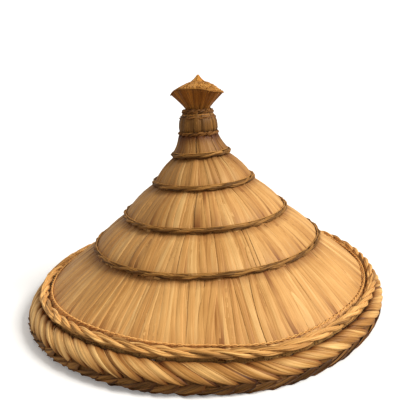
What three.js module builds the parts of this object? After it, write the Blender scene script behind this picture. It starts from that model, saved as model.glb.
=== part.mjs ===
// A tall conical straw hat: five overlapping tiers of thatch, a twisted straw cord at each hem, a plaited
// rim, and a bound neck that ends in a flared topknot. Millimetres, +Z up. The hat rests on its rim at z = 0,
// with its cone's axis along Z and its front facing -Y. Angles run anticlockwise from +X, seen from above.

import * as THREE from "three";

// Driving dimensions
const WALL = 3; // thatch, and the least wall anywhere
const GAP = 0.3; // left between neighbouring pieces
const TUCK = 9; // length of each tier that runs up under the tier above

// The cords sewn along the hems of the tiers, from the neck down: the circle of each cord's centre line, its
// thickness, and lay, the length of one twist. A twist is drawn in so many steps.
const HEM_CORDS = [
  { name: "hem_cord_1", radius: 34.4, height: 183.7, thick: 6.4, lay: 33, steps: 4 },
  { name: "hem_cord_2", radius: 60.9, height: 151.6, thick: 6.4, lay: 33, steps: 4 },
  { name: "hem_cord_3", radius: 99.6, height: 114.6, thick: 6.4, lay: 33, steps: 4 },
  { name: "hem_cord_4", radius: 138.8, height: 79.9, thick: 6.4, lay: 34, steps: 4 },
  { name: "rim_cord", radius: 202, height: 33.5, thick: 10.6, lay: 66, steps: 6 },
];

// The tiers of thatch that those cords hem. Measured from its hem cord's centre line, a tier stops at end
// along the slope with its outer face at face outwards. swell is how far it bulges between two hems, and
// columns is the number of flat facets round it.
const TIERS = [
  { name: "tier_1", end: -3.5, face: -0.2, swell: -1, columns: 32 },
  { name: "tier_2", end: -3.5, face: -0.2, swell: 2.2, columns: 36 },
  { name: "tier_3", end: -3.5, face: -0.2, swell: 2.6, columns: 48 },
  { name: "tier_4", end: -3.5, face: -0.2, swell: 2.4, columns: 52 },
  { name: "tier_5", end: 5, face: -6, swell: 1.6, columns: 60 },
];

// The neck: a solid bundle of straw, stepped so that each binding cord has a seat.
const NECK_SIDES = 24;
const NECK_SEAT = 18; // radius of the neck where the first tier and the lower cord lie against it
const NECK_PROFILE = [
  { radius: 0, height: 196 },
  { radius: 12, height: 196 },
  { radius: NECK_SEAT, height: 200 },
  { radius: NECK_SEAT, height: 211 },
  { radius: 23.8, height: 211.2 },
  { radius: 23.2, height: 222.4 },
  { radius: 15.4, height: 222.4 },
  { radius: 15.4, height: 228.6 },
  { radius: 0, height: 228.6 },
];
const BINDINGS = [
  { name: "neck_cord_lower", radius: 22, height: 207.6, thick: 6.4, lay: 26, steps: 5 },
  { name: "neck_cord_middle", radius: 19.1, height: 226, thick: 6.4, lay: 26, steps: 5 },
  { name: "neck_cord_upper", radius: 16, height: 232.1, thick: 6.4, lay: 24, steps: 5 },
];
// The outer edge of the first tier, just under the lower neck cord.
const FIRST_TIER_TOP = { radius: 24.1, height: 204.1 };

// The topknot: the same straws, flared above the binding and trimmed to a low cone with a point.
const TOPKNOT_SIDES = 16;
const FLARE_FOOT = { radius: 14.4, height: 236.4 };
const FLARE = { radius: 31, height: 256 };
const TOPKNOT_PROFILE = [
  { radius: 0, height: 228.9 },
  { radius: 12.3, height: 228.9 },
  { radius: 12.3, height: 232.6 },
  FLARE_FOOT,
  FLARE,
  { radius: 21.7, height: 261.4 },
  { radius: 13, height: 265.6 },
  { radius: 6.2, height: 267.2 },
  { radius: 0, height: 267.2 },
];
// The flare's edge droops at some of its eight corners, and the crown above it sinks with it.
const FLARE_EDGE = [
  { angle: 0, radius: 31.6, height: 252.8 },
  { angle: 45, radius: 31, height: 256 },
  { angle: 90, radius: 30.5, height: 258.6 },
  { angle: 135, radius: 31, height: 258 },
  { angle: 180, radius: 31.4, height: 252.3 },
  { angle: 225, radius: 30, height: 259.2 },
  { angle: 270, radius: 30, height: 258.8 },
  { angle: 315, radius: 30.6, height: 254.8 },
  { angle: 360, radius: 31.6, height: 252.8 },
];
const TIP_SIDES = 8;
const TIP_PROFILE = [
  { radius: 0, height: 267.5 },
  { radius: 5.4, height: 267.5 },
  { radius: 0, height: 274.3 },
];

// The plaited rim. Each row is a corner of its section, from the spine of the plait outwards, over the top,
// down the inside and back along the flat sole. back says how many half strands it lags behind the spine.
const PLAIT_STRANDS = 60;
const PLAIT_MIDDLE = { radius: 209, height: 13 };
const PLAIT_RIDGE = 1.3; // each strand stands this far above the mean surface, and each groove below it
const PLAIT_SECTION = [
  { radius: 218.6, height: 9.5, back: 0, ridge: 0.6 },
  { radius: 219, height: 16.5, back: 0.9, ridge: 1 },
  { radius: 215.4, height: 23, back: 1.8, ridge: 1 },
  { radius: 209.6, height: 26.8, back: 2.7, ridge: 0.8 },
  { radius: 203.4, height: 25.3, back: 3.3, ridge: 0 },
  { radius: 198.8, height: 19, back: 3.6, ridge: 0.4 },
  { radius: 198.4, height: 9, back: 3, ridge: 0.8 },
  { radius: 202, height: 0, back: 2.4, ridge: 0 },
  { radius: 211.5, height: 0, back: 1.6, ridge: 0 },
  { radius: 216.4, height: 3.2, back: 0.8, ridge: 0.8 },
];

// The thin cord that stitches the last hem down, just above the rim cord.
const STITCH = { thick: 3, sides: 4 };

// Hand-made unevenness, level by level: lean lifts the +X side and lowers the other, aside moves a level
// along X, and rim says how much of RIM_SHAPE reaches that level.
const LEVELS = [
  { height: 0, lean: 0, aside: -3, rim: 0.7 },
  { height: 32, lean: 0, aside: 3.4, rim: 1 },
  { height: 80, lean: 1.1, aside: 4.4, rim: 0 },
  { height: 152, lean: 1.3, aside: 3.4, rim: 0 },
  { height: 186, lean: 1.5, aside: 1.6, rim: 0 },
  { height: 207, lean: 0.2, aside: 0.1, rim: 0 },
  { height: 256, lean: 0, aside: 0.6, rim: 0 },
  { height: 275, lean: 0, aside: 3, rim: 0 },
];
// The rim isn't a true circle: it is lifted off the surface in places, and sags down the brim's own slope.
const RIM_SHAPE = [
  { angle: 0, lift: 0.6, sag: 1.2 },
  { angle: 35, lift: 4.4, sag: 2.5 },
  { angle: 90, lift: 1.5, sag: 0 },
  { angle: 130, lift: 0, sag: 0.2 },
  { angle: 195, lift: 0, sag: 0.6 },
  { angle: 238, lift: 2.2, sag: -2 },
  { angle: 266, lift: 0.8, sag: -0.6 },
  { angle: 288, lift: 0, sag: 4 },
  { angle: 318, lift: 0, sag: 0.4 },
  { angle: 345, lift: 0, sag: 0 },
  { angle: 360, lift: 0.6, sag: 1.2 },
];

const STRAW = { color: 0xd3a25c, roughness: 0.75, metalness: 0 };
const CORD = { color: 0x9a6c33, roughness: 0.8, metalness: 0 };
const PLAIT = { color: 0xb9833f, roughness: 0.75, metalness: 0 };

const TAU = 2 * Math.PI;
const radians = THREE.MathUtils.degToRad;

// The value of one column of a table at a place between its rows, eased from row to row.
function readTable(rows, key, place, column) {
  const after = rows.findIndex((row) => row[key] > place);
  if (after === 0) return rows[0][column];
  if (after < 0) return rows[rows.length - 1][column];
  const [low, high] = [rows[after - 1], rows[after]];
  const share = THREE.MathUtils.smoothstep(place, low[key], high[key]);
  return THREE.MathUtils.lerp(low[column], high[column], share);
}

// Which way the brim slopes at the rim, as a unit vector of radius and height.
const BRIM_SLOPE = new THREE.Vector2(
  HEM_CORDS[4].radius - HEM_CORDS[3].radius,
  HEM_CORDS[4].height - HEM_CORDS[3].height,
).normalize();

// Moves a point of the even hat to its place on the uneven one, which never reaches below the surface.
function settle(point) {
  const angle = Math.atan2(point.y, point.x);
  const degrees = (THREE.MathUtils.radToDeg(angle) + 360) % 360;
  const level = (column) => readTable(LEVELS, "height", point.z, column);
  const rim = (column) => level("rim") * readTable(RIM_SHAPE, "angle", degrees, column);
  const outward = rim("sag") * BRIM_SLOPE.x;
  point.x += outward * Math.cos(angle) + level("aside");
  point.y += outward * Math.sin(angle);
  point.z = Math.max(0, point.z + rim("lift") + rim("sag") * BRIM_SLOPE.y + level("lean") * Math.cos(angle));
  return point;
}

// Gives each vertex of a geometry the place that pointAt works out from its two surface coordinates.
function reshape(geometry, pointAt) {
  const { position, uv } = geometry.attributes;
  for (let i = 0; i < position.count; i++) {
    const point = settle(pointAt(uv.getX(i), uv.getY(i)));
    position.setXYZ(i, point.x, point.y, point.z);
  }
  geometry.computeVertexNormals();
  return geometry;
}

function piece(name, geometry, look) {
  const mesh = new THREE.Mesh(geometry, new THREE.MeshStandardMaterial(look));
  mesh.name = name;
  return mesh;
}

function cylindrical(radius, angle, height) {
  return new THREE.Vector3(radius * Math.cos(angle), radius * Math.sin(angle), height);
}

// A ring of any closed section, on the closed grid of faces that a torus has. corner(index, turn) returns
// the radius, height and angle of one section corner at one place round the ring, with the corners in order
// from the outside over the top.
function ring(steps, sides, corner) {
  const grid = new THREE.TorusGeometry(2, 1, sides, steps);
  return reshape(grid, (turn, side) => {
    const { radius, height, angle } = corner(Math.round(side * sides) % sides, turn);
    return cylindrical(radius, angle, height);
  });
}

// A two-strand twisted cord laid in a circle. Its section has two humps, which turn as the cord goes round.
const STRAND_HUMPS = [
  { angle: -38, reach: 0.94 },
  { angle: 0, reach: 1 },
  { angle: 38, reach: 0.94 },
  { angle: 142, reach: 0.94 },
  { angle: 180, reach: 1 },
  { angle: 218, reach: 0.94 },
];

function twistedCord({ radius, height, thick, lay, steps }) {
  const twists = Math.round((TAU * radius) / lay);
  return ring(twists * steps, STRAND_HUMPS.length, (index, turn) => {
    const { angle, reach } = STRAND_HUMPS[index];
    const round = radians(angle) + turn * twists * TAU;
    const out = (thick / 2) * reach;
    return {
      radius: radius + out * Math.cos(round),
      height: height + out * Math.sin(round),
      angle: turn * TAU,
    };
  });
}

// The direction from one place on a profile to a lower one, and the outward normal across it, in the plane
// of radius and height.
function slopeBetween(upper, lower) {
  const along = lower.clone().sub(upper).normalize();
  return { along, out: new THREE.Vector2(-along.y, along.x) };
}

// A place measured from another along a slope and outwards from it.
function beside(place, { along, out }, downslope, outward) {
  return place.clone().addScaledVector(along, downslope).addScaledVector(out, outward);
}

const placeOf = ({ radius, height }) => new THREE.Vector2(radius, height);

// The outer face of a tier from the tier above down: its top, the swell at its middle, and its hem.
function tierFace(index) {
  const { end, face, swell } = TIERS[index];
  const cord = placeOf(HEM_CORDS[index]);
  const start = placeOf(index ? HEM_CORDS[index - 1] : FIRST_TIER_TOP);
  const slope = slopeBetween(start, cord);
  const seat = index ? -(HEM_CORDS[index - 1].thick / 2 + GAP) : 0;
  const top = beside(start, slope, 0, seat);
  const hem = beside(cord, slope, end, face);
  const middle = beside(top.clone().add(hem).multiplyScalar(0.5), slope, 0, swell);
  return { top, middle, hem, slope };
}

// A tier's closed section: up its outer face, round the edge that is tucked under the tier above or against
// the neck, and down its inner face.
function tierSection(index) {
  const { top, middle, hem, slope } = tierFace(index);
  return [
    hem,
    middle,
    top,
    ...(index ? tuck(tierFace(index - 1)) : neckRim(top)),
    beside(middle, slope, 0, -WALL),
    beside(hem, slope, 0, -WALL),
  ];
}

// The hidden edge of a tier, which lies along the underside of the tier above.
function tuck(above) {
  const underside = slopeBetween(above.middle, above.hem);
  const hem = beside(above.hem, underside, 0, -WALL - GAP);
  return [beside(hem, underside, -TUCK, 0), beside(hem, underside, -TUCK, -WALL)];
}

function neckRim(top) {
  const inner = NECK_SEAT + GAP;
  return [new THREE.Vector2(inner, top.y), new THREE.Vector2(inner, top.y - WALL)];
}

function tier(index) {
  const section = tierSection(index);
  return ring(TIERS[index].columns, section.length, (corner, turn) => ({
    radius: section[corner].x,
    height: section[corner].y,
    angle: turn * TAU,
  }));
}

// The plait: ridges and grooves take turns round the ring, and the lag of each section corner behind the
// spine slants them into a herringbone.
function plait() {
  const steps = 2 * PLAIT_STRANDS;
  return ring(steps, PLAIT_SECTION.length, (index, turn) => {
    const { radius, height, back, ridge } = PLAIT_SECTION[index];
    const side = Math.round(turn * steps) % 2 ? 1 : -1;
    const out = placeOf({ radius, height })
      .sub(placeOf(PLAIT_MIDDLE))
      .setLength(side * ridge * PLAIT_RIDGE);
    return {
      radius: radius + out.x,
      height: Math.max(0, height + out.y),
      angle: (turn - back / steps) * TAU,
    };
  });
}

// The stitching lies on the last tier, upslope of the rim cord.
function stitchCord() {
  const rim = HEM_CORDS.length - 1;
  const { middle, hem } = tierFace(rim);
  const reach = STITCH.thick / 2;
  const upslope = TIERS[rim].end + HEM_CORDS[rim].thick / 2 + reach + 2 * GAP;
  const centre = beside(hem, slopeBetween(middle, hem), -upslope, reach + GAP);
  return ring(TIERS[rim].columns, STITCH.sides, (index, turn) => ({
    radius: centre.x + reach * Math.cos((index * TAU) / STITCH.sides),
    height: centre.y + reach * Math.sin((index * TAU) / STITCH.sides),
    angle: turn * TAU,
  }));
}

// A solid of revolution, from a profile that starts and ends on the axis. The lathe turns about Y, and is
// laid over so that its axis is Z.
function turned(profile, sides, adjust = (point) => point) {
  const geometry = new THREE.LatheGeometry(profile.map(placeOf), sides).rotateX(Math.PI / 2);
  const { position } = geometry.attributes;
  for (let i = 0; i < position.count; i++) {
    const point = settle(adjust(new THREE.Vector3().fromBufferAttribute(position, i)));
    position.setXYZ(i, point.x, point.y, point.z);
  }
  geometry.computeVertexNormals();
  return geometry;
}

// Widens and lifts the head of the topknot to its edge's own table, most at the edge and nothing at the axis.
function droop(point) {
  if (point.z <= FLARE_FOOT.height) return point;
  const degrees = (THREE.MathUtils.radToDeg(Math.atan2(point.y, point.x)) + 360) % 360;
  const edge = (column) => readTable(FLARE_EDGE, "angle", degrees, column);
  const share = Math.hypot(point.x, point.y) / FLARE.radius;
  const wider = edge("radius") / FLARE.radius;
  point.z += (edge("height") - FLARE.height) * share ** 2;
  point.x *= wider;
  point.y *= wider;
  return point;
}

const hat = new THREE.Group();

const crown = new THREE.Group();
TIERS.forEach(({ name }, index) => crown.add(piece(name, tier(index), STRAW)));
HEM_CORDS.forEach((cord) => crown.add(piece(cord.name, twistedCord(cord), CORD)));

const rim = new THREE.Group();
rim.add(piece("plaited_rim", plait(), PLAIT));
rim.add(piece("stitch_cord", stitchCord(), CORD));

const finial = new THREE.Group();
finial.add(piece("neck", turned(NECK_PROFILE, NECK_SIDES), STRAW));
BINDINGS.forEach((binding) => finial.add(piece(binding.name, twistedCord(binding), CORD)));
finial.add(piece("topknot", turned(TOPKNOT_PROFILE, TOPKNOT_SIDES, droop), STRAW));
finial.add(piece("topknot_tip", turned(TIP_PROFILE, TIP_SIDES), STRAW));

hat.add(crown, rim, finial);

export default hat;
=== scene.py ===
"""A tall conical straw hat: tiers of thatch with twisted hem cords, a plaited rim, and a bound topknot."""

import math

import bmesh
import bpy
import numpy as np
from mathutils import Matrix, Vector


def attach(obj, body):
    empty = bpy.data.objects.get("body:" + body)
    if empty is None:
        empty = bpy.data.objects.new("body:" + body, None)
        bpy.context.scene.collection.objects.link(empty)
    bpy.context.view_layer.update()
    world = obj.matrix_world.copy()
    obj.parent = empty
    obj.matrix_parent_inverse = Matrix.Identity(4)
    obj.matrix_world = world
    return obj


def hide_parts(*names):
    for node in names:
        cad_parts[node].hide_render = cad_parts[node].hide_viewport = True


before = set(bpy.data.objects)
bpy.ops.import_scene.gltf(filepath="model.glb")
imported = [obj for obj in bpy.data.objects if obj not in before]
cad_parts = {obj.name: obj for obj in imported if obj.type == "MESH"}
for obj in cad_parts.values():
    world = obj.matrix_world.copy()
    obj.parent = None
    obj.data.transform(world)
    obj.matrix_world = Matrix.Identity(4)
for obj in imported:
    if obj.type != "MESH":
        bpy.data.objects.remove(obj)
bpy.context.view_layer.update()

# Sizes are in millimetres until settle() turns them into metres. A place on the hat is a radius, a height and
# an angle, which runs anticlockwise from +X, seen from above.
MM = 0.001
TAU = 2 * math.pi
SOLE = 1.2  # straw lower than this is pressed together by the hat's own weight
chance = np.random.default_rng(11)

# The hem cords from the neck down: the circle of each cord's centre line, and how often its strands twist.
HEM_CORDS = [
    {"name": "hem_cord_1", "radius": 34.4, "height": 183.7, "thick": 6.4, "twists": 5},
    {"name": "hem_cord_2", "radius": 60.9, "height": 151.6, "thick": 6.4, "twists": 8},
    {"name": "hem_cord_3", "radius": 99.6, "height": 114.6, "thick": 6.4, "twists": 14},
    {"name": "hem_cord_4", "radius": 138.8, "height": 79.9, "thick": 6.4, "twists": 19},
    {"name": "rim_cord", "radius": 202.0, "height": 33.5, "thick": 10.6, "twists": -19},
]
NECK_CORDS = [
    {"name": "neck_cord_lower", "radius": 22.0, "height": 207.6, "thick": 6.4, "twists": 8},
    {"name": "neck_cord_middle", "radius": 19.1, "height": 226.0, "thick": 6.4, "twists": 3},
    {"name": "neck_cord_upper", "radius": 16.0, "height": 232.1, "thick": 6.4, "twists": 6},
]

# The tiers: where each stops beside its hem cord, how far it bulges, and how many straws make one layer.
TIERS = [
    {"name": "tier_1", "end": -3.5, "face": -0.2, "swell": -1.0, "straws": 84},
    {"name": "tier_2", "end": -3.5, "face": -0.2, "swell": 2.2, "straws": 140},
    {"name": "tier_3", "end": -3.5, "face": -0.2, "swell": 2.6, "straws": 220},
    {"name": "tier_4", "end": -3.5, "face": -0.2, "swell": 2.4, "straws": 300},
    {"name": "tier_5", "end": 5.0, "face": -6.0, "swell": 1.6, "straws": 430},
]
FIRST_TIER_TOP = (24.1, 204.1)
WALL = 3.0  # between a tier's outer and inner straws
GAP = 0.3  # between a cord and the tier below it
TUCK = 9.0  # how far a tier reaches up under the next one

# Hand-made unevenness, as in the solids: first by level, then round the rim and round the topknot's edge.
LEVELS = np.array([
    # height, lean, aside, rim
    (0, 0, -3, 0.7),
    (32, 0, 3.4, 1),
    (80, 1.1, 4.4, 0),
    (152, 1.3, 3.4, 0),
    (186, 1.5, 1.6, 0),
    (207, 0.2, 0.1, 0),
    (256, 0, 0.6, 0),
    (275, 0, 3, 0),
])
RIM_SHAPE = np.array([
    # degrees, lift, sag
    (0, 0.6, 1.2),
    (35, 4.4, 2.5),
    (90, 1.5, 0),
    (130, 0, 0.2),
    (195, 0, 0.6),
    (238, 2.2, -2),
    (266, 0.8, -0.6),
    (288, 0, 4),
    (318, 0, 0.4),
    (345, 0, 0),
    (360, 0.6, 1.2),
])
FLARE_EDGE = np.array([
    # degrees, radius, height
    (0, 31.6, 252.8),
    (45, 31, 256),
    (90, 30.5, 258.6),
    (135, 31, 258),
    (180, 31.4, 252.3),
    (225, 30, 259.2),
    (270, 30, 258.8),
    (315, 30.6, 254.8),
    (360, 31.6, 252.8),
])
FLARE_FOOT_HEIGHT = 236.4
FLARE = (31.0, 256.0)  # the topknot's edge on the even hat


def unit(vector):
    """A vector made 1 long, or each row of a list of them."""
    return vector / np.linalg.norm(vector, axis=-1, keepdims=True)


def place_of(cord):
    return np.array([cord["radius"], cord["height"]])


def eased(table, where):
    """Reads a table at any places, easing from row to row: one array for each of its other columns."""
    rows = np.clip(np.searchsorted(table[:, 0], where, side="right"), 1, len(table) - 1)
    low, high = table[rows - 1], table[rows]
    share = np.clip((where - low[..., 0]) / (high[..., 0] - low[..., 0]), 0, 1)
    share = share * share * (3 - 2 * share)
    mixed = low + (high - low) * share[..., None]
    return [mixed[..., column] for column in range(1, table.shape[1])]


BRIM_SLOPE = unit(place_of(HEM_CORDS[4]) - place_of(HEM_CORDS[3]))


def settle(radius, height, angle):
    """Places on the even hat as points of the uneven one, in metres. Nothing lies below the surface."""
    radius, height, angle = np.broadcast_arrays(radius, height, angle)
    lean, aside, rim = eased(LEVELS, height)
    lift, sag = eased(RIM_SHAPE, np.degrees(angle) % 360)
    out = radius + rim * sag * BRIM_SLOPE[0]
    up = height + rim * (lift + sag * BRIM_SLOPE[1]) + lean * np.cos(angle)
    up = np.where(up > SOLE, up, SOLE * np.exp(np.minimum(up / SOLE - 1, 0)))
    points = [out * np.cos(angle) + aside, out * np.sin(angle), up]
    return np.stack(points, -1) * MM


def droop(radius, height, angle):
    """The head of the topknot, widened and lifted to its edge's own table."""
    edge_radius, edge_height = eased(FLARE_EDGE, np.degrees(angle) % 360)
    share = radius / FLARE[0]
    above = height > FLARE_FOOT_HEIGHT
    lifted = height + np.where(above, (edge_height - FLARE[1]) * share**2, 0)
    return np.where(above, radius * edge_radius / FLARE[0], radius), lifted


def reach_of(line):
    """How far along a line each of its points is."""
    return np.concatenate([[0], np.cumsum(np.linalg.norm(np.diff(line, axis=0), axis=1))])


def length_of(line):
    return reach_of(line)[-1]


def run_along(line, distance):
    """Places at distances along a line of radii and heights, and the outward normals there."""
    reach = reach_of(line)
    way = np.gradient(line, reach, axis=0)
    place = [np.interp(distance, reach, line[:, i]) for i in (0, 1)]
    outward = np.stack([-np.interp(distance, reach, way[:, 1]), np.interp(distance, reach, way[:, 0])])
    return place, outward / np.linalg.norm(outward, axis=0)


def normals_of(line):
    return run_along(line, reach_of(line))[1].T


def waves(angle, counts, seed):
    """A smooth uneven value round the hat, about -1 to 1, from a few whole numbers of waves."""
    phases = np.random.default_rng(seed).uniform(0, TAU, len(counts))
    total = sum(np.sin(count * angle + phase) for count, phase in zip(counts, phases))
    return total / math.sqrt(len(counts))


# Forms: the corners of one small shape, and its faces as one run of corner numbers and each face's length.


def form_of(bm):
    bmesh.ops.recalc_face_normals(bm, faces=bm.faces)
    bm.verts.index_update()
    places = np.array([vertex.co for vertex in bm.verts])
    loops = np.array([vertex.index for face in bm.faces for vertex in face.verts])
    sizes = np.array([len(face.verts) for face in bm.faces])
    bm.free()
    return {"places": places, "loops": loops, "sizes": sizes}


def straw_form(cuts):
    """A flattened straw: x across from -1 to 1, y outwards from its flat back to 1, z along from 0 to 1."""
    bm = bmesh.new()
    turn = Matrix.Rotation(math.pi / 6, 4, "Z")
    bmesh.ops.create_cone(bm, cap_ends=True, segments=6, radius1=1, radius2=1, depth=1, matrix=turn)
    bmesh.ops.translate(bm, verts=bm.verts, vec=(0, 0, 0.5))
    bmesh.ops.scale(bm, verts=[vertex for vertex in bm.verts if vertex.co.y > 0.5], vec=(1.3, 1.15, 1))
    lengthwise = [edge for edge in bm.edges if abs(edge.verts[0].co.z - edge.verts[1].co.z) > 0.5]
    bmesh.ops.subdivide_edges(bm, edges=lengthwise, cuts=cuts, use_grid_fill=True)
    backs = [vertex for vertex in bm.verts if vertex.co.y < -0.1]
    bmesh.ops.scale(bm, verts=backs, vec=(1, 0.2, 1))
    return form_of(bm)


def stub_form():
    """The cut end of a straw: a short hollow tube that stands on z = 0, 1 wide and 1 high."""
    bm = bmesh.new()
    bmesh.ops.create_cone(bm, cap_ends=True, segments=6, radius1=0.5, radius2=0.5, depth=1)
    bmesh.ops.translate(bm, verts=bm.verts, vec=(0, 0, 0.5))
    top = [face for face in bm.faces if face.normal.z > 0.5]
    bmesh.ops.inset_region(bm, faces=top, thickness=0.16, use_even_offset=True)
    mouth = [face for face in bm.faces if len(face.verts) == 6 and face.calc_center_median().z > 0.9]
    sunk = bmesh.ops.extrude_discrete_faces(bm, faces=mouth)["faces"]
    bmesh.ops.translate(bm, verts=list({v for face in sunk for v in face.verts}), vec=(0, 0, -0.2))
    bmesh.ops.remove_doubles(bm, verts=bm.verts, dist=1e-5)
    return form_of(bm)


def ring_form(steps, sides):
    """A closed ring of faces. Its turn and side columns say how far round the ring and round its section
    each corner is, from 0 to 1, once for each corner and once, without the jump, for each face's corners."""
    bm = bmesh.new()
    bmesh.ops.create_circle(bm, segments=sides, radius=1)
    bmesh.ops.rotate(bm, verts=bm.verts, cent=(0, 0, 0), matrix=Matrix.Rotation(math.pi / 2, 3, "X"))
    bmesh.ops.translate(bm, verts=bm.verts, vec=(2, 0, 0))
    section = bm.verts[:] + bm.edges[:]
    bmesh.ops.spin(bm, geom=section, cent=(0, 0, 0), axis=(0, 0, 1), angle=TAU, steps=steps, use_merge=True)
    form = form_of(bm)
    x, y, z = form["places"].T
    turn = np.arctan2(y, x) / TAU % 1
    side = np.arctan2(z, np.hypot(x, y) - 2) / TAU % 1
    form["turn"] = np.where(turn > 1 - 0.5 / steps, 0, turn)
    form["side"] = np.where(side > 1 - 0.5 / sides, 0, side)
    for name in ("turn", "side"):
        corners = form[name][form["loops"]].reshape(-1, 4)
        wraps = (corners.max(1, keepdims=True) - corners.min(1, keepdims=True) > 0.5) & (corners < 0.5)
        form["loop_" + name] = (corners + wraps).ravel()
    return form


def heap(form, places, tone, shade, flow, material=0):
    """Many copies of one form. tone picks each corner's colour and shade how light it is, from 0 to 1:
    painted shade, and in the thatch also its brown hem stains. flow holds the two texture lengths of each
    corner, across and along."""
    copies, corners = places.shape[:2]
    if flow.shape[1] == corners:
        flow = flow[:, form["loops"]]
    return {
        "places": places.reshape(-1, 3),
        "loops": (form["loops"] + corners * np.arange(copies)[:, None]).ravel(),
        "sizes": np.tile(form["sizes"], copies),
        "tone": np.broadcast_to(tone, (copies, corners)).ravel(),
        "shade": np.broadcast_to(shade, (copies, corners)).ravel(),
        "flow": flow.reshape(-1, 2),
        "material": material,
    }


def make_piece(name, heaps, materials, slot, *nodes):
    """One object from heaps of small forms, in the place of the solids of the same nodes."""
    mesh = bpy.data.meshes.new(name)
    firsts = np.cumsum([0] + [len(part["places"]) for part in heaps[:-1]])
    places = np.concatenate([part["places"] for part in heaps])
    loops = np.concatenate([part["loops"] + first for part, first in zip(heaps, firsts)])
    sizes = np.concatenate([part["sizes"] for part in heaps])
    mesh.vertices.add(len(places))
    mesh.vertices.foreach_set("co", places.ravel())
    mesh.loops.add(len(loops))
    mesh.loops.foreach_set("vertex_index", loops)
    mesh.polygons.add(len(sizes))
    mesh.polygons.foreach_set("loop_start", np.concatenate([[0], np.cumsum(sizes)[:-1]]))
    mesh.polygons.foreach_set("use_smooth", np.ones(len(sizes), bool))
    numbers = [np.full(len(part["sizes"]), part["material"]) for part in heaps]
    mesh.polygons.foreach_set("material_index", np.concatenate(numbers))
    mesh.update(calc_edges=True)
    for material in materials:
        mesh.materials.append(material)
    flow = np.concatenate([part["flow"] for part in heaps])
    mesh.uv_layers.new(name="flow").data.foreach_set("uv", flow.ravel())
    for label in ("tone", "shade"):
        values = np.concatenate([part[label] for part in heaps])
        mesh.attributes.new(label, "FLOAT", "POINT").data.foreach_set("value", values)
    piece = bpy.data.objects.new(name, mesh)
    bpy.context.scene.collection.objects.link(piece)
    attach(piece, "root")
    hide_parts(*nodes)


# Straw. A bed holds one value for each of its straws, as arrays.

LONG_STEPS = 9
STRAW = straw_form(5)
LONG_STRAW = straw_form(LONG_STEPS - 1)
NO_FADE = (-9, -4)  # straw that is as light where it comes out as anywhere else


def bed_of(count, layer, first, last, width, thick, lift, skew, seed):
    """Straws side by side round the hat, each from about first to about last along its line. Neighbours lie
    at stepped heights. Patches of straws rise, slant and change colour together, alike in a tier's layers."""
    draw = np.random.default_rng(seed)
    tier_seed = seed // 100
    angle = (np.arange(count) + draw.uniform(-0.45, 0.45, count) + 0.5 * layer) / count * TAU
    step = 0.06 * (np.arange(count) % 4 - 1.5)
    tints = (count // 26, count // 13, count // 7)
    return {
        "angle": angle,
        "start": first + draw.uniform(-2, 2, count),
        "end": last + draw.normal(0, 0.8, count),
        "width": width * draw.uniform(0.7, 1.35, count),
        "thick": thick * draw.uniform(0.8, 1.25, count),
        "lift": lift + step + 0.42 * waves(angle, (7, 11, 18), 5 + tier_seed),
        "skew": skew * (waves(angle, (3, 7, 11, 17), 40 + tier_seed) + draw.normal(0, 0.5, count)),
        "bend": draw.normal(0, 0.38, count) * skew,
        "tone": np.clip(0.5 + 0.1 * waves(angle, tints, 3 + tier_seed) + draw.normal(0, 0.1, count), 0, 1),
        "offset": draw.uniform(0, 300, count),
        "streak_strength": 0.1 + 1.25 * draw.random(count) ** 3,
    }


def lay_straws(line, bed, form, shade, side=1, narrow=0.35, fade=NO_FADE, hem=0, material=0, spread=None,
               bends=()):
    """Lays a bed of straws along a line of radii and heights. With side = -1 they lie on the line's inside.
    narrow is how much narrower they get towards the axis. They carry painted shade where they come out from
    under the straw or cord above, darkest at the first distance of fade. With a hem they also get brown
    stains that climb from it, and streaks of painted shade that hang from the cord above. bends are the
    distances where a long straw has corners of its own, just before its end."""
    column = {name: values[:, None] for name, values in bed.items()}
    across, up, along = form["places"].T
    distance = column["start"] + (column["end"] - column["start"]) * along
    if bends:
        rows = np.rint(along * LONG_STEPS).astype(int)
        early = np.linspace(bed["start"], bends[0], LONG_STEPS - len(bends) + 1)
        late = [np.full_like(bed["start"], place) for place in bends[1:]]
        distance = np.stack([*early, *late, bed["end"]])[rows].T
    (radius, height), outward = run_along(line, distance)
    broad = np.clip(radius / line[:, 0].max(), 0, 1)
    width = column["width"] * (1 - narrow + narrow * broad) * (1 - 0.45 * (1 - along) ** 6)
    tip = 1 - 0.55 * along**10 - 0.5 * (1 - along) ** 8
    raised = side * (column["lift"] + column["thick"] * up * tip)
    angle = (
        column["angle"]
        + column["skew"] * (along - 0.5) / 100
        + column["bend"] * np.sin(math.pi * along) / 100
        + side * across * width / 2 / radius
    )
    radius, height = radius + outward[0] * raised, height + outward[1] * raised
    if spread:
        radius, height = spread(radius, height, angle)
    shade = shade * np.clip((distance - fade[0]) / (fade[1] - fade[0]), 0, 1) ** 0.7
    if hem:
        climb, hung_shade = stains_and_hung_shade(column, hem, fade, distance)
        # The brown stains that climb from the hem are real colour; the streaks that hang from the cord above
        # are painted shade.
        shade = shade * (1 - climb) * (1 - hung_shade)
    flow = np.stack([across * width / 2 + column["offset"], distance + column["offset"]], -1)
    return heap(form, settle(radius, height, angle), column["tone"], shade, flow, material)


def stains_and_hung_shade(column, hem, fade, distance):
    """Brown stains that climb from the hem, and painted shade that hangs in streaks from under the cord
    above: how strong each is, 0 to 1.
    """
    angle, count = column["angle"], len(column["angle"])
    climb = 0.42 + 0.5 * waves(angle, (count // 19, count // 9, count // 5), 21)
    hung_shade = 0.22 + 0.5 * waves(angle, (count // 23, count // 11, count // 6), 22)
    climb = np.clip(climb, 0, 0.8) * column["streak_strength"]
    hung_shade = np.clip(hung_shade, 0, 0.65) * column["streak_strength"]
    height = (18 + 26 * climb) * min(1, (hem - fade[0]) / 50)
    depth = 8 + 22 * hung_shade
    return (
        climb * np.clip(1 + (distance - hem) / height, 0, 1) ** 1.4,
        hung_shade * np.clip(1 - (distance - fade[1]) / depth, 0, 1) ** 1.4,
    )


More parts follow.
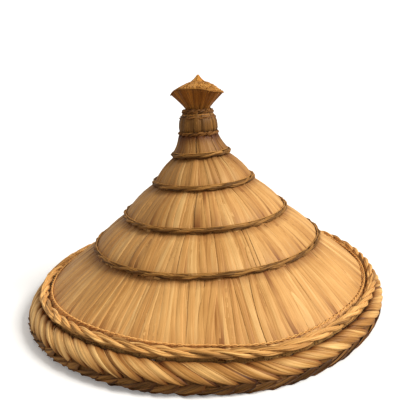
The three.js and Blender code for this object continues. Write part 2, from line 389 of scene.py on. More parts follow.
def ring_of(section, steps, tone, shade, material=0, spread=None):
    """A plain ring with a section of radii and heights, in order from the outside over the top."""
    form = ring_form(steps, len(section))
    corner = np.rint(form["side"] * len(section)).astype(int) % len(section)
    angle = form["turn"] * TAU
    radius, height = section[corner].T
    if spread:
        radius, height = spread(radius, height, angle)
    places = settle(radius, height, angle)[None]
    around = form["loop_turn"] * TAU * section[:, 0].mean()
    flow = np.stack([around, form["loop_side"] * 60], -1)[None]
    return heap(form, places, tone, shade, flow, material)


# Thatch

# A tier's layers of straw from the bottom up: how high they lie against its face, and how light they are, the
# lower ones with painted shade as they lie under the others.
LAYERS = [
    {"lift": -0.9, "shade": 0.85},
    {"lift": -0.7, "shade": 0.95},
    {"lift": -0.5, "shade": 1.0},
]
STRAW_THICK = 0.42
OVERLAP = 2.5  # a straw's width, in spacings
FRAYED = 0.16  # the share of middle straws that hang out under their cord
SHORT = 0.3  # the share of top straws that come out below the upper cord
RIM_HIDES = 13  # how much of the last tier the rim cord and its stitching hide


def tier_line(index):
    """A tier's outer face, from its tucked edge down past its hem, and the distances along it where it comes
    out from under the cord above and where its hem is."""
    tier, cord = TIERS[index], place_of(HEM_CORDS[index])
    above = place_of(HEM_CORDS[index - 1]) if index else np.array(FIRST_TIER_TOP)
    along = unit(cord - above)
    out = np.array([-along[1], along[0]])
    seat = HEM_CORDS[index - 1]["thick"] / 2 + GAP if index else 0
    top = above - out * seat
    hem = cord + along * tier["end"] + out * tier["face"]
    share = np.linspace(0, 1, 9)[:, None]
    face = top + (hem - top) * share + out * tier["swell"] * 4 * share * (1 - share)
    higher = np.array([FIRST_TIER_TOP, *map(place_of, HEM_CORDS)])[index - 1] if index else None
    tuck_way = unit(above - higher) if index else unit(np.array([1.5, -3.0]))
    tucked = top - tuck_way * (TUCK if index else 3.0)
    if index < len(TIERS) - 1:
        under_cord = [(-2.3, -0.7), (-1.2, -2.3), (1.4, -3.1), (4.5, -2.9), (9.0, -2.6)]
    else:
        under_cord = [(8.0, -7.8)]
    past = [cord + along * down + out * up for down, up in under_cord]
    line = np.array([tucked, *face, *past])
    top_at = np.linalg.norm(top - tucked)
    return line, top_at, top_at + length_of(face)


def thatch(index):
    """One tier: three layers of straw over a thin core, and a layer of straw on its inside."""
    tier = TIERS[index]
    line, top_at, hem_at = tier_line(index)
    last = index == len(TIERS) - 1
    count, seed = tier["straws"], 100 * index
    normals = normals_of(line)
    reach = 1.8 if last else 6.0
    bends = () if last else (hem_at - 7, hem_at - 0.2, hem_at + 1.2, hem_at + 3.2)
    # Painted shadow under the cord above, clearing over these distances.
    fade = (top_at + 1.0, top_at + 8.5)
    stained = hem_at - RIM_HIDES if last else hem_at
    width = TAU * line[:, 0].max() / count * OVERLAP
    skew = 3.4 * (HEM_CORDS[4]["radius"] / HEM_CORDS[index]["radius"]) ** 0.6
    heaps = []
    for layer, row in enumerate(LAYERS):
        end = hem_at + reach - 0.8 * layer
        bed = bed_of(count, layer, 1.5, end, width, STRAW_THICK, row["lift"], skew, seed + layer)
        if layer == 1 and not last:
            frayed = chance.random(count) < FRAYED
            bed["end"] = np.where(frayed, bed["end"] + chance.uniform(1.5, 4.5, count), bed["end"])
        if layer == 2:
            short = chance.random(count) < SHORT
            begins = top_at + chance.uniform(0.05, 0.6, count) * (hem_at - top_at - 8)
            bed["start"] = np.where(short, begins, bed["start"])
            bed["lift"] = np.where(short, bed["lift"] - 0.15, bed["lift"])
        heaps.append(lay_straws(line, bed, LONG_STRAW, row["shade"], fade=fade, hem=stained, bends=bends))
    lining_end = hem_at + (0.8 if last else -1.4)
    lining = bed_of(count, 0, 1.0, lining_end, width * 1.1, 0.9, -0.45, 3.2, seed + 9)
    # The straw on the inside carries painted shade.
    heaps.append(lay_straws(line - WALL * normals, lining, STRAW, 0.8, side=-1, material=1))
    kept = len(line) - (1 if last else 5)
    outside, inside = [line[:kept] - depth * normals[:kept] for depth in (1.8, 2.4)]
    # The core, seen through gaps between the straws, carries painted shade.
    heaps.append(ring_of(np.concatenate([outside[::-1], inside]), 144, 0.5, 0.8))
    make_piece("thatch_" + tier["name"], heaps, [looks["thatch"], looks["lining"]], "thatch", tier["name"])


# Cords

# How each kind of cord is laid. lumps is how uneven a strand is, and gloom how much painted shade darkens the
# cord's underside against its top. edging is the share of the thickness that goes to a straight straw along
# the top.
HEM_TWIST = {"strands": 2, "straws": 5, "steps": 16, "fullness": 1.02, "lumps": 0.3, "edging": 0.1}
RIM_TWIST = {"strands": 3, "straws": 6, "steps": 18, "fullness": 0.98, "lumps": 0.26, "gloom": 0.55}
NECK_TWIST = {"strands": 3, "straws": 4, "steps": 18, "fullness": 1.1, "lumps": 0.1, "gloom": 0.4}
STITCH_TWIST = {"strands": 2, "straws": 1, "steps": 10, "fullness": 1.1, "lumps": 0.15, "gloom": 0.2}
NECK_EDGING = 0.22  # on the neck's lower two cords
STITCH_THICK = 3.2


def twisted_cord(cord, look, seed, strands, straws, steps, fullness, lumps, gloom=0.6, edging=0):
    """Strands of straw twisted about each other, in a circle, with so many steps in each twist. Each strand
    closes on itself."""
    draw = np.random.default_rng(seed)
    twists = cord["twists"]
    form = ring_form(abs(twists) * steps, 6)
    angle, side = form["turn"] * TAU, form["side"] * TAU
    around = form["loop_turn"] * TAU * cord["radius"]
    edge = cord["thick"] / 2 * edging
    whole = cord["thick"] / 2 * fullness - edge
    strand_reach = whole * (0.6 if strands == 2 else 0.5)
    strand_off = whole - strand_reach
    uneven = (2 * abs(twists) + 1, 3 * abs(twists) - 2, abs(twists) - 1)
    astray = (twists // 2, twists + 1, 2 * twists + 1)
    heaps = []
    for strand in range(strands):
        swing = twists * angle + strand * TAU / strands + 0.5 * waves(angle, (3, 5, 8, 13), seed + 1)
        strand_tone = 0.5 + 0.12 * math.cos(math.pi * strand)
        plump = 1 + lumps * np.maximum(waves(angle, uneven, seed + strand), -0.4)
        for straw in range(straws):
            # The first straw is the strand's thick middle, and the others lie round it.
            size, seat = (0.56, 0) if straw == 0 else (0.44, 0.56)
            thin = strand_reach * size * draw.uniform(0.85, 1.15) * plump
            roll = -round(twists * 0.5) * angle + TAU * straw / max(1, straws - 1) + draw.uniform(-0.3, 0.3)
            wander = 0.16 * thin * waves(angle, astray, seed + 7 * straw + strand)
            off = strand_reach * seat * plump + wander
            out = edge * 0.5 + strand_off * np.cos(swing) + off * np.cos(roll) + thin * np.cos(side)
            up = -edge * 0.8 + strand_off * np.sin(swing) + off * np.sin(roll) + thin * np.sin(side)
            tone = np.clip(draw.normal(strand_tone, 0.12), 0, 1)
            # Painted shade: the cord's underside is darker than its top.
            shade = 1 - gloom * np.clip(0.25 - up / whole, 0, 1)
            across = form["loop_side"] * TAU * strand_reach / 2 + 40 * straw
            flow = np.stack([across, around + 90 * straw], -1)
            places = settle(cord["radius"] + out, cord["height"] + up, angle)
            heaps.append(heap(form, places[None], tone, shade, flow[None]))
    if edging:
        heaps.append(straight_edge(cord, form, edge, whole, seed))
    make_piece("twisted_" + cord["name"], heaps, [look], "cord", cord["name"])


def straight_edge(cord, form, edge, whole, seed):
    """A straw laid straight along the top of a twisted cord."""
    angle, side = form["turn"] * TAU, form["side"] * TAU
    thin = edge * (1.25 + 0.2 * waves(angle, (5, 9, 16), seed + 3))
    out = -0.3 * whole + 0.25 * edge * waves(angle, (4, 7, 13), seed + 4) + thin * np.cos(side)
    up = whole * 0.95 + 0.2 * edge * waves(angle, (6, 11), seed + 5) + thin * np.sin(side)
    flow = np.stack([form["loop_side"] * TAU * edge, form["loop_turn"] * TAU * cord["radius"]], -1)
    places = settle(cord["radius"] + out, cord["height"] + up, angle)
    return heap(form, places[None], 0.95, 1.0, flow[None])


def stitch_cord():
    """The thin twisted line that sews the last hem down, upslope of the rim cord."""
    line, _, hem_at = tier_line(4)
    down = hem_at - (TIERS[4]["end"] + HEM_CORDS[4]["thick"] / 2 + STITCH_THICK)
    place, out = run_along(line, np.array(down))
    radius, height = np.array(place) + out * STITCH_THICK * 0.6
    cord = {"name": "stitch_cord", "radius": radius, "height": height, "thick": STITCH_THICK, "twists": 96}
    twisted_cord(cord, looks["stitch"], 71, **STITCH_TWIST)


# The plaited rim

PLAIT_STRANDS = 66

# Radii and heights: the lines that the strands follow over the top, underneath and inside, and the section
# of the rim's plain middle.
PLAIT_OVER = np.array([
    (202.2, 25.4), (205.0, 27.2), (208.4, 27.2), (211.6, 25.8), (214.6, 22.8), (216.8, 18.6), (218.0, 13.6),
    (218.2, 9.6), (217.4, 6.8),
])
PLAIT_UNDER = np.array([
    (204.0, 1.6), (208.6, 1.2), (212.8, 1.4), (215.4, 2.8), (217.0, 5.4), (217.4, 8.4), (216.6, 11.4),
    (214.8, 13.4),
])
PLAIT_INSIDE = np.array([
    (204.5, 0.9), (200.6, 2.8), (198.9, 7.5), (198.6, 13.0), (199.2, 18.5), (201.0, 23.2), (204.4, 26.0),
])
PLAIT_CORE = np.array([
    (215.9, 8.5), (215.2, 14.5), (212.2, 20.2), (208.9, 24.0), (204.4, 25.4), (201.8, 21.0), (201.2, 9.0),
    (203.4, 1.4), (211.4, 0.8), (215.0, 3.2),
])
PLAIT_SIDES = [
    {"line": PLAIT_OVER, "lean": 2.6, "lead": 0.0, "straws": 5, "bulge": 4.6, "foot": 0.75, "widest": 1.2,
     "tone": 0.62, "shade": 1.0, "dim": 0.9, "seed": 301, "material": 0},
    {"line": PLAIT_UNDER, "lean": 1.9, "lead": 0.5, "straws": 4, "bulge": 2.0, "foot": 1.15, "widest": 1.7,
     "tone": 0.5, "shade": 0.9, "dim": 0.7, "seed": 302, "material": 1},
    {"line": PLAIT_INSIDE, "lean": -1.0, "lead": 0.2, "straws": 4, "bulge": 1.8, "foot": 0.8, "widest": 1.0,
     "tone": 0.45, "shade": 0.8, "dim": 0.5, "seed": 303, "material": 1},
]


def plait_side(line, lean, lead, straws, bulge, foot, widest, tone, shade, dim, seed, material):
    """One slanting row of strands, each a leaf of straws that runs lean strands sideways to its pointed tip.
    lead shifts the row, in strands. bulge is how far a strand stands out. foot is the strand's width where it
    begins, as a share of its full width. A larger widest puts the full width nearer to the tip. dim is how
    much painted shade darkens the strands where they begin. The strands carry painted shade along their edges
    and sunk ends and a painted highlight along the middle of their length, and the front of the rim is
    browner than its back, as painted shade."""
    draw = np.random.default_rng(seed)
    across, up, along = LONG_STRAW["places"].T
    pitch = TAU / PLAIT_STRANDS
    count = PLAIT_STRANDS * straws
    strand = np.repeat(np.arange(PLAIT_STRANDS), straws)[:, None]
    seat = np.tile(np.linspace(-1, 1, straws), PLAIT_STRANDS)[:, None]
    nudge = draw.normal(0, 0.12, PLAIT_STRANDS)[strand]
    fat = draw.uniform(0.7, 1.18, PLAIT_STRANDS)[strand]
    distance = length_of(line) * (along * draw.uniform(0.9, 1.0, PLAIT_STRANDS)[strand])
    (radius, height), outward = run_along(line, distance)
    swollen = np.sin(math.pi * along**widest)
    leaf = np.maximum(np.where(along**widest < 0.5, foot + (1.08 - foot) * swollen, 1.08 * swollen), 0.3)
    half = 0.5 * pitch * leaf * (0.9 + 0.1 * fat)
    belly = np.sqrt(np.clip((along + 0.12) / 0.34, 0, 1) * np.clip((1.03 - along) / 0.3, 0, 1))
    over = (seat + across * 1.9 / straws) / (1 + 1.9 / straws)
    raised = bulge * (fat * (np.sqrt(1 - 0.96 * over**2) * belly - 0.95) + 0.15 * over * belly)
    raised = raised + draw.normal(0, 0.13, (count, 1)) * belly + 0.45 * up
    slant = lean * (along**1.45 - 1) * draw.normal(1, 0.02, (count, 1))
    angle = pitch * (strand + lead + nudge + slant) + half * (seat + across * 1.8 / straws)
    radius, height = radius + outward[0] * raised, height + outward[1] * raised
    offset = draw.uniform(0, 300, (count, 1))
    flow = np.stack([across * 0.9 + offset, distance * 1.4 + offset], -1)
    strand_tone = draw.normal(tone, 0.18, PLAIT_STRANDS)[strand] + draw.normal(0, 0.15, (count, 1))
    # A painted highlight along the middle of each strand's length, and painted shade towards its ends.
    strand_tone = strand_tone + 0.4 * (np.sin(math.pi * np.clip(along * 1.1, 0, 1)) - 0.6)
    # Painted shade that browns the front of the rim.
    painted_front_shade = 0.36 * np.clip(-np.sin(angle - 0.3), 0, 1) ** 2
    strand_tone = strand_tone + 0.16 - painted_front_shade
    # Painted shade where a strand begins, where it sinks at its ends, and along its edges between strands.
    gloom = shade * (1 - dim * (1 - np.clip((along - 0.05) / 0.38, 0, 1) ** 0.8))
    gloom = gloom * (0.2 + 0.8 * belly) * (1 - np.abs(over) ** 2.6)
    return heap(LONG_STRAW, settle(radius, height, angle), np.clip(strand_tone, 0, 1), gloom, flow, material)


def plaited_rim():
    heaps = [plait_side(**row) for row in PLAIT_SIDES]
    # The rim's plain middle, seen in the gaps between strands, in shaded straw with painted shade.
    heaps.append(ring_of(PLAIT_CORE, 240, 0.45, 0.5, 1))
    make_piece("herringbone_rim", heaps, [looks["plait"], looks["plait_shade"]], "plait", "plaited_rim")


# Neck and topknot

# Radii and heights: a core is the profile of a plain middle, and straws follow the other lines.
NECK_CORE = [
    (0, 196), (11.5, 196), (17, 200), (17.4, 211), (21.4, 212), (20.6, 221), (16.8, 225.5), (15.4, 229.6),
    (0, 229.6),
]
SLEEVE = np.array([
    (22.4, 208.5), (23.2, 212.0), (22.9, 217.0), (22.3, 221.5), (20.4, 226.0), (17.8, 230.5), (15.8, 233.5),
])
FLARE_LINE = np.array([(12.6, 229.5), (13.6, 236.0), (19.2, 243.0), (25.0, 249.6), (31.0, 256.0)])
CROWN_CORE = [
    (0, 228.9), (11.2, 228.9), (11.4, 234.5), (16.6, 243.6), (22.4, 250.4), (27.2, 254.4), (27.2, 255.6),
    (20.2, 259.8), (12.5, 263.4), (6.0, 265.4), (0, 265.6),
]
CROWN_LINE = np.array([(0.0, 267.6), (6.2, 266.9), (13.0, 265.0), (21.7, 261.4), (31.2, 256.0)])
TIP_CORE = [(0, 266.4), (6.2, 266.4), (4.2, 268.6), (0, 273.4)]
TIP_LINE = np.array([(0.2, 274.2), (2.4, 271.4), (4.8, 268.7), (8.4, 266.2)])
CUT_END_HEIGHT = 4.5
ROUGH_SIDE = math.radians(-42)  # the direction in which the crown is trimmed rough


def spun(profile, steps, tone, shade, spread=None):
    """A solid of revolution from a profile of radii and heights that starts and ends on the axis."""
    bm = bmesh.new()
    corners = [bm.verts.new((radius, 0, height)) for radius, height in profile]
    edges = [bm.edges.new(pair) for pair in zip(corners, corners[1:])]
    bmesh.ops.spin(bm, geom=corners + edges, cent=(0, 0, 0), axis=(0, 0, 1), angle=TAU, steps=steps,
                   use_merge=True)
    bmesh.ops.remove_doubles(bm, verts=bm.verts, dist=1e-3)
    form = form_of(bm)
    x, y, z = form["places"].T
    radius, angle = np.hypot(x, y), np.arctan2(y, x)
    if spread:
        radius, z = spread(radius, z, angle)
    flow = np.stack([angle * 20, form["places"][:, 2] + radius], -1)[None]
    return heap(form, settle(radius, z, angle)[None], tone, shade, flow)


def neck():
    """The bound bundle between the thatch and the topknot: two layers of straw over a solid middle."""
    # The dark middle, seen between the straws, carries painted shade.
    heaps = [spun(NECK_CORE, 48, 0.3, 0.4)]
    for layer, lift in enumerate((-0.9, -0.3)):
        bed = bed_of(90, layer, 1.0, length_of(SLEEVE) - 0.5, 3.6, 0.35, lift, 2.0, 500 + layer)
        # Painted shade at the straws' top ends.
        heaps.append(lay_straws(SLEEVE[::-1], bed, STRAW, 0.9, narrow=0.1, fade=(-4, 2)))
    make_piece("neck_sleeve", heaps, [looks["neck"]], "bundle", "neck")


def topknot():
    # The dark middle, seen between the straws, carries painted shade.
    heaps = [spun(CROWN_CORE, 64, 0.3, 0.35, droop)]
    heaps += [flare_straws(layer, lift) for layer, lift in enumerate((-1.1, -0.8, -0.4))]
    heaps += [cut_ends(), *crown_straws(), trimmed_edge()]
    make_piece("flared_topknot", heaps, [looks["flare"], looks["cut_ends"]], "bundle", "topknot")


def flare_straws(layer, lift):
    """One layer of the flare's straws, which widen from the binding up to the trimmed edge."""
    total = length_of(FLARE_LINE)
    bed = bed_of(120, layer, 1.0, total + 0.2, 2.6, 0.4, lift, 3.0, 520 + layer)
    bed["start"], bed["end"] = total - np.minimum(bed["end"], total + 0.6), total - bed["start"]
    return lay_straws(FLARE_LINE[::-1], bed, STRAW, 1.0, narrow=0.6, spread=droop)


def cut_ends():
    """Straw ends that stand out on the front right of the crown of the topknot, where it is trimmed rough."""
    form = stub_form()
    count = 210
    share = np.sqrt(chance.random(count))
    angle = ROUGH_SIDE + chance.normal(0, 0.62, count)
    radius = 8 + 22 * share
    height = np.interp(radius, CROWN_LINE[:, 0], CROWN_LINE[:, 1]) + 0.2
    radius, height = droop(radius, height, angle)
    foot = settle(radius, height, angle)
    waist = settle(0.0, 222.0, 0.0)
    way = unit(unit(foot - waist) + chance.normal(0, 0.06, (count, 3)))
    first = unit(np.cross(way, [0.3, 0.9, 0.1]))
    second = np.cross(way, first)
    wide = chance.uniform(1.5, 2.5, count)[:, None, None] * MM
    rise = chance.normal(0.1, 0.45, count)[:, None, None] * MM
    x, y, z = form["places"].T
    places = (
        foot[:, None]
        + first[:, None] * x[:, None] * wide
        + second[:, None] * y[:, None] * wide
        + way[:, None] * ((z[:, None] - 1) * CUT_END_HEIGHT * MM + rise)
    )
    tone = chance.uniform(0.3, 0.95, (count, 1))
    # Painted shade inside each straw's hollow mouth.
    hollow = (np.hypot(x, y) < 0.4) & (z < 0.9) & (z > 0.5)
    shade = np.where(hollow, 0.15, 1.0)[None]
    flow = np.stack([x * 2 + 100 * tone, z * 5 + 50 * tone], -1)
    return heap(form, places, tone, shade, flow, 1)


def crown_straws():
    """Fine straws that lie over the crown, from the tip out to the trimmed edge."""
    total = length_of(CROWN_LINE)
    heaps = []
    for layer, lift in enumerate((-0.75, -0.35)):
        count = 150
        bed = bed_of(count, layer, 0, total, 1.9, 0.4, lift, 9.0, 541 + layer)
        bed["start"] = 3 + 20 * chance.random(count) ** 1.3
        bed["end"] = np.where(chance.random(count) < 0.7, total - 0.1, bed["start"] + 9)
        heaps.append(lay_straws(CROWN_LINE, bed, STRAW, 0.95, narrow=0.55, material=1, spread=droop))
    return heaps


def trimmed_edge():
    """The crisp rim where the crown meets the flare."""
    turn = np.linspace(0, TAU, 6, endpoint=False)
    section = np.array([30.9, 255.7]) + 0.55 * np.stack([np.cos(turn), np.sin(turn)], -1)
    return ring_of(section, 96, 0.45, 0.8, 1, droop)


def topknot_tip():
    """The tuft at the very top: straws that lean together to a point."""
    heaps = [spun(TIP_CORE, 16, 0.6, 0.8)]
    for layer in range(2):
        bed = bed_of(26, layer, 0.3 + layer, length_of(TIP_LINE) - 0.4, 2.6, 0.4, -0.35, 3.0, 560 + layer)
        bed["start"] = np.abs(bed["start"]) * 0.3
        heaps.append(lay_straws(TIP_LINE, bed, STRAW, 1.0, narrow=0.9))
    make_piece("pointed_tuft", heaps, [looks["tip"]], "bundle", "topknot_tip")


# Materials

# Tints that straw is multiplied by: in painted shade and hem stains, in patches, and darker to the top and in
# painted shade to the left.
RED_DUSK = (162, 130, 102)
OLIVE_DUSK = (158, 144, 114)
PATCH_TINT = (200, 184, 146)
DARKENING_TINT = (0.40, 0.33, 0.22, 1)


def colour(red, green, blue):
    """A colour given as it looks on a screen, 0 to 255."""
    return (*[((part / 255 + 0.055) / 1.055) ** 2.4 for part in (red, green, blue)], 1.0)


def wire(tree, value, socket):
    """Joins an output to an input socket, or gives the input a plain value."""
    if isinstance(value, bpy.types.NodeSocket):
        tree.links.new(value, socket)
    else:
        socket.default_value = value


def add(tree, kind, inputs=(), **settings):
    """A new node with its settings. inputs are pairs of a socket's name and what goes into it."""
    node = tree.nodes.new(kind)
    for name, value in settings.items():
        setattr(node, name, value)
    for label, value in inputs:
        wire(tree, value, node.inputs[label])
    return node


def maths(tree, operation, first, second, clamp=False):
    node = add(tree, "ShaderNodeMath", operation=operation, use_clamp=clamp)
    wire(tree, first, node.inputs[0])
    wire(tree, second, node.inputs[1])
    return node.outputs[0]


def mix(tree, share, first, second, blend="MIX"):
    node = add(tree, "ShaderNodeMix", data_type="RGBA", blend_type=blend)
    for socket, value in zip((node.inputs[0], node.inputs[6], node.inputs[7]), (share, first, second)):
        wire(tree, value, socket)
    return node.outputs[2]


def ramp(tree, value, low, high, top=1.0, kind="LINEAR"):
    """0 where the value is low, growing to top where it is high."""
    steps = [("Value", value), ("From Min", low), ("From Max", high), ("To Max", top)]
    return add(tree, "ShaderNodeMapRange", steps, interpolation_type=kind).outputs[0]


def evened(tree, noise, amount):
    """Noise that swings about 0 instead of about a half, times an amount."""
    return maths(tree, "MULTIPLY", maths(tree, "SUBTRACT", noise, 0.5), amount)


def flow_noise(tree, across, along, detail, roughness=0.55):
    """Noise drawn out along the straw: how many waves a millimetre across it and along it."""
    flow = add(tree, "ShaderNodeUVMap", uv_map="flow").outputs[0]
    stretch = add(tree, "ShaderNodeMapping", [("Vector", flow), ("Scale", (across, along, 1))]).outputs[0]
    grain = [("Vector", stretch), ("Scale", 1), ("Detail", detail), ("Roughness", roughness)]
    return add(tree, "ShaderNodeTexNoise", grain).outputs[0]


def darker_top_and_shaded_left(tree, place, amount):
    """How much darker the hat is: more towards its top and, above the rim, with painted shade towards its
    left, away from the sun.
    """
    axes = add(tree, "ShaderNodeSeparateXYZ")
    wire(tree, place, axes.inputs[0])
    top = ramp(tree, axes.outputs["Z"], 0.140, 0.212, kind="SMOOTHSTEP")
    rising = ramp(tree, axes.outputs["Z"], 0.045, 0.150, 0.24)
    left = ramp(tree, axes.outputs["X"], -0.015, -0.085, 1.4)
    share = maths(tree, "ADD", maths(tree, "MULTIPLY", top, 0.76), rising)
    share = maths(tree, "ADD", share, maths(tree, "MULTIPLY", left, rising))
    return maths(tree, "MULTIPLY", share, amount, clamp=True)


def straw_fibre():
    """The surface of one straw: streaks along it, patches over the hat, darkening towards the hat's top and
    painted shade on its left, and painted shade where it is tucked under, which also carries the thatch's
    brown hem stains."""
    group = bpy.data.node_groups.new("straw_fibre", "ShaderNodeTree")
    for label in ("Pale", "Mid", "Deep", "Patch", "Dusk"):
        group.interface.new_socket(label, in_out="INPUT", socket_type="NodeSocketColor")
    for label in ("Patch amount", "Gloom", "Top and left darkening"):
        group.interface.new_socket(label, in_out="INPUT", socket_type="NodeSocketFloat")
    group.interface.new_socket("Color", in_out="OUTPUT", socket_type="NodeSocketColor")
    for label in ("Roughness", "Height"):
        group.interface.new_socket(label, in_out="OUTPUT", socket_type="NodeSocketFloat")
    given = add(group, "NodeGroupInput").outputs
    tone = add(group, "ShaderNodeAttribute", attribute_name="tone").outputs["Fac"]
    shade = add(group, "ShaderNodeAttribute", attribute_name="shade").outputs["Fac"]
    place = add(group, "ShaderNodeTexCoord").outputs["Object"]
    fine = flow_noise(group, 1.7, 0.035, 5, 0.62)
    broad = flow_noise(group, 0.5, 0.018, 2)
    level = maths(group, "ADD", evened(group, fine, 0.95), tone)
    level = maths(group, "ADD", evened(group, broad, 0.7), level)
    low = maths(group, "MULTIPLY", level, 2.0, clamp=True)
    high = maths(group, "MULTIPLY", maths(group, "SUBTRACT", level, 0.5), 2.0, clamp=True)
    straw = mix(group, high, mix(group, low, given["Deep"], given["Mid"]), given["Pale"])
    patches = add(group, "ShaderNodeTexNoise", [("Vector", place), ("Scale", 14), ("Detail", 3)]).outputs[0]
    patch_share = maths(group, "MULTIPLY", maths(group, "SUBTRACT", patches, 0.42), 5.0, clamp=True)
    patch_share = maths(group, "MULTIPLY", patch_share, given["Patch amount"])
    straw = mix(group, patch_share, straw, given["Patch"], "MULTIPLY")
    # Darker towards the hat's top, and painted shade on its left side.
    straw = mix(group, darker_top_and_shaded_left(group, place, given["Top and left darkening"]), straw, DARKENING_TINT, "MULTIPLY")
    gloom = maths(group, "MULTIPLY", maths(group, "SUBTRACT", 1.0, shade), given["Gloom"], clamp=True)
    straw = mix(group, gloom, straw, given["Dusk"], "MULTIPLY")
    roughness = maths(group, "ADD", maths(group, "MULTIPLY", fine, 0.35), 0.34)
    height = maths(group, "ADD", fine, maths(group, "MULTIPLY", broad, 0.4))
    add(group, "NodeGroupOutput", [("Color", straw), ("Roughness", roughness), ("Height", height)])
    return group


def straw_look(fibre, name, pale, mid, deep, gloom=1.0, top_left_darkening=0.0, dusk=RED_DUSK):
    """A kind of straw, from the colours of its palest, middling and deepest parts."""
    material = bpy.data.materials.new(name)
    material.use_nodes = True
    tree = material.node_tree
    tree.nodes.clear()
    colours = {"Pale": pale, "Mid": mid, "Deep": deep, "Patch": PATCH_TINT, "Dusk": dusk}
    inputs = [(label, colour(*value)) for label, value in colours.items()]
    inputs += [("Patch amount", 0.35), ("Gloom", gloom), ("Top and left darkening", top_left_darkening)]
    skin = add(tree, "ShaderNodeGroup", inputs, node_tree=fibre)
    relief = add(tree, "ShaderNodeBump", [
        ("Strength", 0.35),
        ("Distance", 0.0006),
        ("Height", skin.outputs["Height"]),
    ])
    shader = add(tree, "ShaderNodeBsdfPrincipled", [
        ("Base Color", skin.outputs["Color"]),
        ("Roughness", skin.outputs["Roughness"]),
        ("Specular IOR Level", 0.2),
        ("Sheen Weight", 0.05),
        ("Sheen Roughness", 0.4),
        ("Normal", relief.outputs[0]),
    ])
    add(tree, "ShaderNodeOutputMaterial", [("Surface", shader.outputs[0])])
    return material


def all_looks():
    fibre = straw_fibre()
    return {
        "thatch": straw_look(
            fibre, "thatch_straw", (240, 199, 135), (214, 162, 96), (170, 115, 58), top_left_darkening=1.0
        ),
        "lining": straw_look(fibre, "lining_straw", (214, 170, 104), (184, 136, 74), (132, 90, 42)),
        "cord": straw_look(
            fibre, "hem_cord_straw", (200, 148, 80), (134, 93, 42), (62, 40, 16), dusk=OLIVE_DUSK
        ),
        "rim_cord": straw_look(
            fibre, "rim_cord_straw", (255, 210, 138), (220, 165, 96), (110, 74, 36), dusk=OLIVE_DUSK
        ),
        "stitch": straw_look(fibre, "stitching", (255, 212, 140), (234, 176, 102), (150, 92, 42)),
        "plait": straw_look(fibre, "plait_straw", (252, 208, 138), (196, 142, 76), (96, 56, 24), gloom=1.25),
        # A shaded copy of the plait straw, with painted shade, for the rim's under and inside rows and its
        # core.
        "plait_shade": straw_look(fibre, "plait_under_straw", (212, 162, 94), (160, 116, 60), (92, 62, 28)),
        "neck": straw_look(fibre, "neck_straw", (172, 124, 60), (126, 88, 40), (80, 52, 22)),
        "neck_cord": straw_look(fibre, "neck_cord_straw", (180, 126, 62), (126, 84, 38), (70, 42, 16)),
        "flare": straw_look(fibre, "flare_straw", (210, 146, 62), (150, 96, 36), (84, 50, 18)),
        "cut_ends": straw_look(fibre, "cut_straw_ends", (222, 166, 84), (184, 130, 58), (124, 78, 30)),
        "tip": straw_look(fibre, "tuft_straw", (240, 184, 98), (212, 150, 66), (150, 96, 36)),
    }


# The stage: a pale floor, soft light, and the camera. The floor and the sky look whiter to the camera than
# the light that they throw on the hat.

TO_KEY = (0.72, -0.24, 0.65)  # from the hat towards the sun
CAMERA = {"target": (0.0097, 0.0, 0.1095), "away": 0.570, "rise": 15.21, "roll": 2.66, "view": 50.0}


def floor():
    bm = bmesh.new()
    bmesh.ops.create_grid(bm, x_segments=2, y_segments=2, size=6)
    mesh = bpy.data.meshes.new("floor")
    bm.to_mesh(mesh)
    bm.free()
    piece = bpy.data.objects.new("floor", mesh)
    bpy.context.scene.collection.objects.link(piece)
    material = bpy.data.materials.new("pale_floor")
    material.use_nodes = True
    tree = material.node_tree
    seen = add(tree, "ShaderNodeLightPath").outputs["Is Camera Ray"]
    shader = tree.nodes["Principled BSDF"].inputs
    wire(tree, mix(tree, seen, (0.42, 0.38, 0.33, 1), (0.92, 0.94, 0.97, 1)), shader["Base Color"])
    wire(tree, 0.8, shader["Roughness"])
    wire(tree, (1, 1, 1, 1), shader["Emission Color"])
    wire(tree, maths(tree, "MULTIPLY", seen, 0.16), shader["Emission Strength"])
    mesh.materials.append(material)


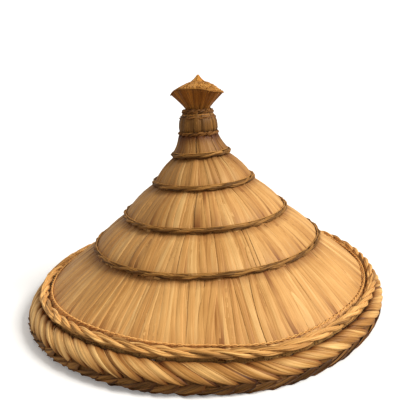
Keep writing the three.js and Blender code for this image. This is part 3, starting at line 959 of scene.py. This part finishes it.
def sky():
    world = bpy.data.worlds.new("studio")
    world.use_nodes = True
    tree = world.node_tree
    seen = add(tree, "ShaderNodeLightPath").outputs["Is Camera Ray"]
    background = tree.nodes["Background"].inputs
    wire(tree, mix(tree, seen, (1, 0.93, 0.84, 1), (1, 1, 1, 1)), background["Color"])
    wire(tree, maths(tree, "ADD", maths(tree, "MULTIPLY", seen, 0.7), 0.52), background["Strength"])
    bpy.context.scene.world = world
    bpy.context.scene.view_settings.view_transform = "Standard"


def sun():
    key = bpy.data.lights.new("key", "SUN")
    key.energy = 3.5
    key.angle = math.radians(24)
    key.color = (1, 0.96, 0.89)
    piece = bpy.data.objects.new("key", key)
    bpy.context.scene.collection.objects.link(piece)
    piece.rotation_euler = Vector(TO_KEY).to_track_quat("Z", "Y").to_euler()


def camera():
    rise = math.radians(CAMERA["rise"])
    roll = math.radians(CAMERA["roll"])
    view = bpy.data.cameras.new("camera")
    view.sensor_width = 36
    view.lens = view.sensor_width / 2 / math.tan(math.radians(CAMERA["view"] / 2))
    view.clip_start = 0.01
    piece = bpy.data.objects.new("camera", view)
    piece.location = Vector(CAMERA["target"]) + CAMERA["away"] * Vector((0, -math.cos(rise), math.sin(rise)))
    level = Matrix.Rotation(math.pi / 2 - rise, 4, "X")
    piece.rotation_euler = (level @ Matrix.Rotation(-roll, 4, "Z")).to_euler()
    bpy.context.scene.collection.objects.link(piece)
    bpy.context.scene.camera = piece


looks = all_looks()
for number in range(len(TIERS)):
    thatch(number)
for number, row in enumerate(HEM_CORDS[:4]):
    twisted_cord(row, looks["cord"], 601 + 10 * number, **HEM_TWIST)
twisted_cord(HEM_CORDS[4], looks["rim_cord"], 651, **RIM_TWIST)
for number, row in enumerate(NECK_CORDS):
    edging = 0 if row["name"] == "neck_cord_upper" else NECK_EDGING
    twisted_cord(row, looks["neck_cord"], 661 + 10 * number, edging=edging, **NECK_TWIST)
stitch_cord()
plaited_rim()
neck()
topknot()
topknot_tip()
floor()
sky()
sun()
camera()
